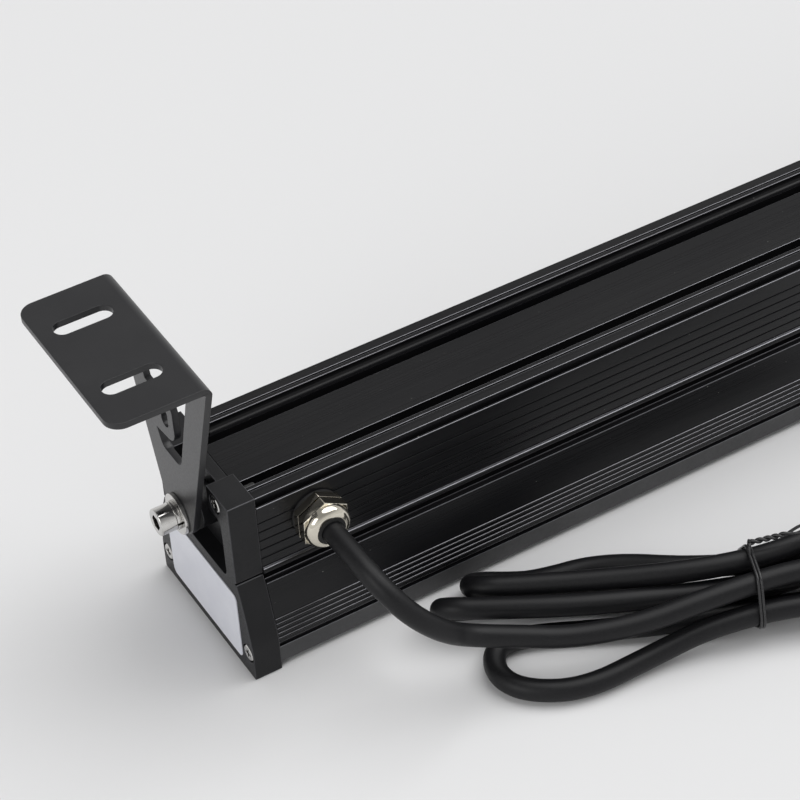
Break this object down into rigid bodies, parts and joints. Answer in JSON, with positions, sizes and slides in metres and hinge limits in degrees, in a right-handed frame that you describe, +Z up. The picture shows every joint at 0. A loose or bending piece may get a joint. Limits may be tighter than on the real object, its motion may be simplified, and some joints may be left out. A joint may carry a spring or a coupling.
{
  "type": "linear floodlight",
  "caption": "Long narrow floodlight with a finned profile, end caps, a tilting bracket with a slotted foot at each end, a cable gland and a tied supply cord.",
  "frame": {"origin": "on the surface the lamp lies on, below the middle of the housing", "axes": "+X along the housing, away from the end with the label and the cord; +Z up, away from the lens; the cord leaves on the -Y side"},
  "size_m": [0.6776, 0.222, 0.1375],
  "materials": {
    "profile": "satin black anodised, fine drawn grooves",
    "cap": "fine grained dark grey powder coat",
    "bracket": "satin dark grey powder coat",
    "fastener": "bright nickel plated",
    "gland_metal": "polished nickel plated brass",
    "seal": "matt black",
    "nylon": "matt black nylon",
    "label": "blank satin silver-white film",
    "lens": "clear toughened glass",
    "optic": "clear moulded lenses",
    "circuit": "white solder mask",
    "chip": "yellow phosphor",
    "driver": "plain sheet",
    "board": "green board",
    "component": "dark components",
    "wire": "brown and blue insulation",
    "copper": "tinned copper strands",
    "jacket": "satin black rubber",
    "tie": "black coated tie wire"
  },
  "bodies": {
    "housing": {"housing_extrusion": "profile", "end_cap_left": "cap", "end_cap_right": "cap", "end_cap_gasket_left": "seal", "end_cap_gasket_right": "seal", "end_cap_screws_left": "fastener", "end_cap_screws_right": "fastener", "friction_washer_left": "nylon", "friction_washer_right": "nylon", "flat_washer_left": "fastener", "flat_washer_right": "fastener", "spring_washer_left": "fastener", "spring_washer_right": "fastener", "pivot_bolt_left": "fastener", "pivot_bolt_right": "fastener", "pivot_insert_left": "gland_metal", "pivot_insert_right": "gland_metal", "rating_label": "label", "lens_glass": "lens", "lens_seal_strips": "seal", "led_board": "circuit", "led_chips": "chip", "optic_lenses": "optic", "led_board_screws": "fastener", "driver_case": "driver", "driver_board": "board", "driver_components": "component", "driver_lid": "driver", "driver_screws": "fastener", "gland_ring": "seal", "gland_body": "gland_metal", "gland_nut": "gland_metal", "gland_seal": "seal", "gland_locknut": "gland_metal", "supply_wires": "wire", "feed_wires": "wire", "cord_lead": "jacket", "cord_hank": "jacket", "cord_conductors": "wire", "conductor_cores": "copper", "cord_tie": "tie"},
    "left_bracket": {"bracket_left": "bracket"},
    "right_bracket": {"bracket_right": "bracket"}
  },
  "joints": [
    {"name": "bracket_left_tilt", "type": "hinge", "parent": "housing", "child": "left_bracket", "pos_m": [-0.30455, 0, 0.0565], "axis": [1, 0, 0], "range_deg": [-90, 90]},
    {"name": "bracket_right_tilt", "type": "hinge", "parent": "housing", "child": "right_bracket", "pos_m": [0.30455, 0, 0.0565], "axis": [1, 0, 0], "range_deg": [-90, 90]}
  ]
}
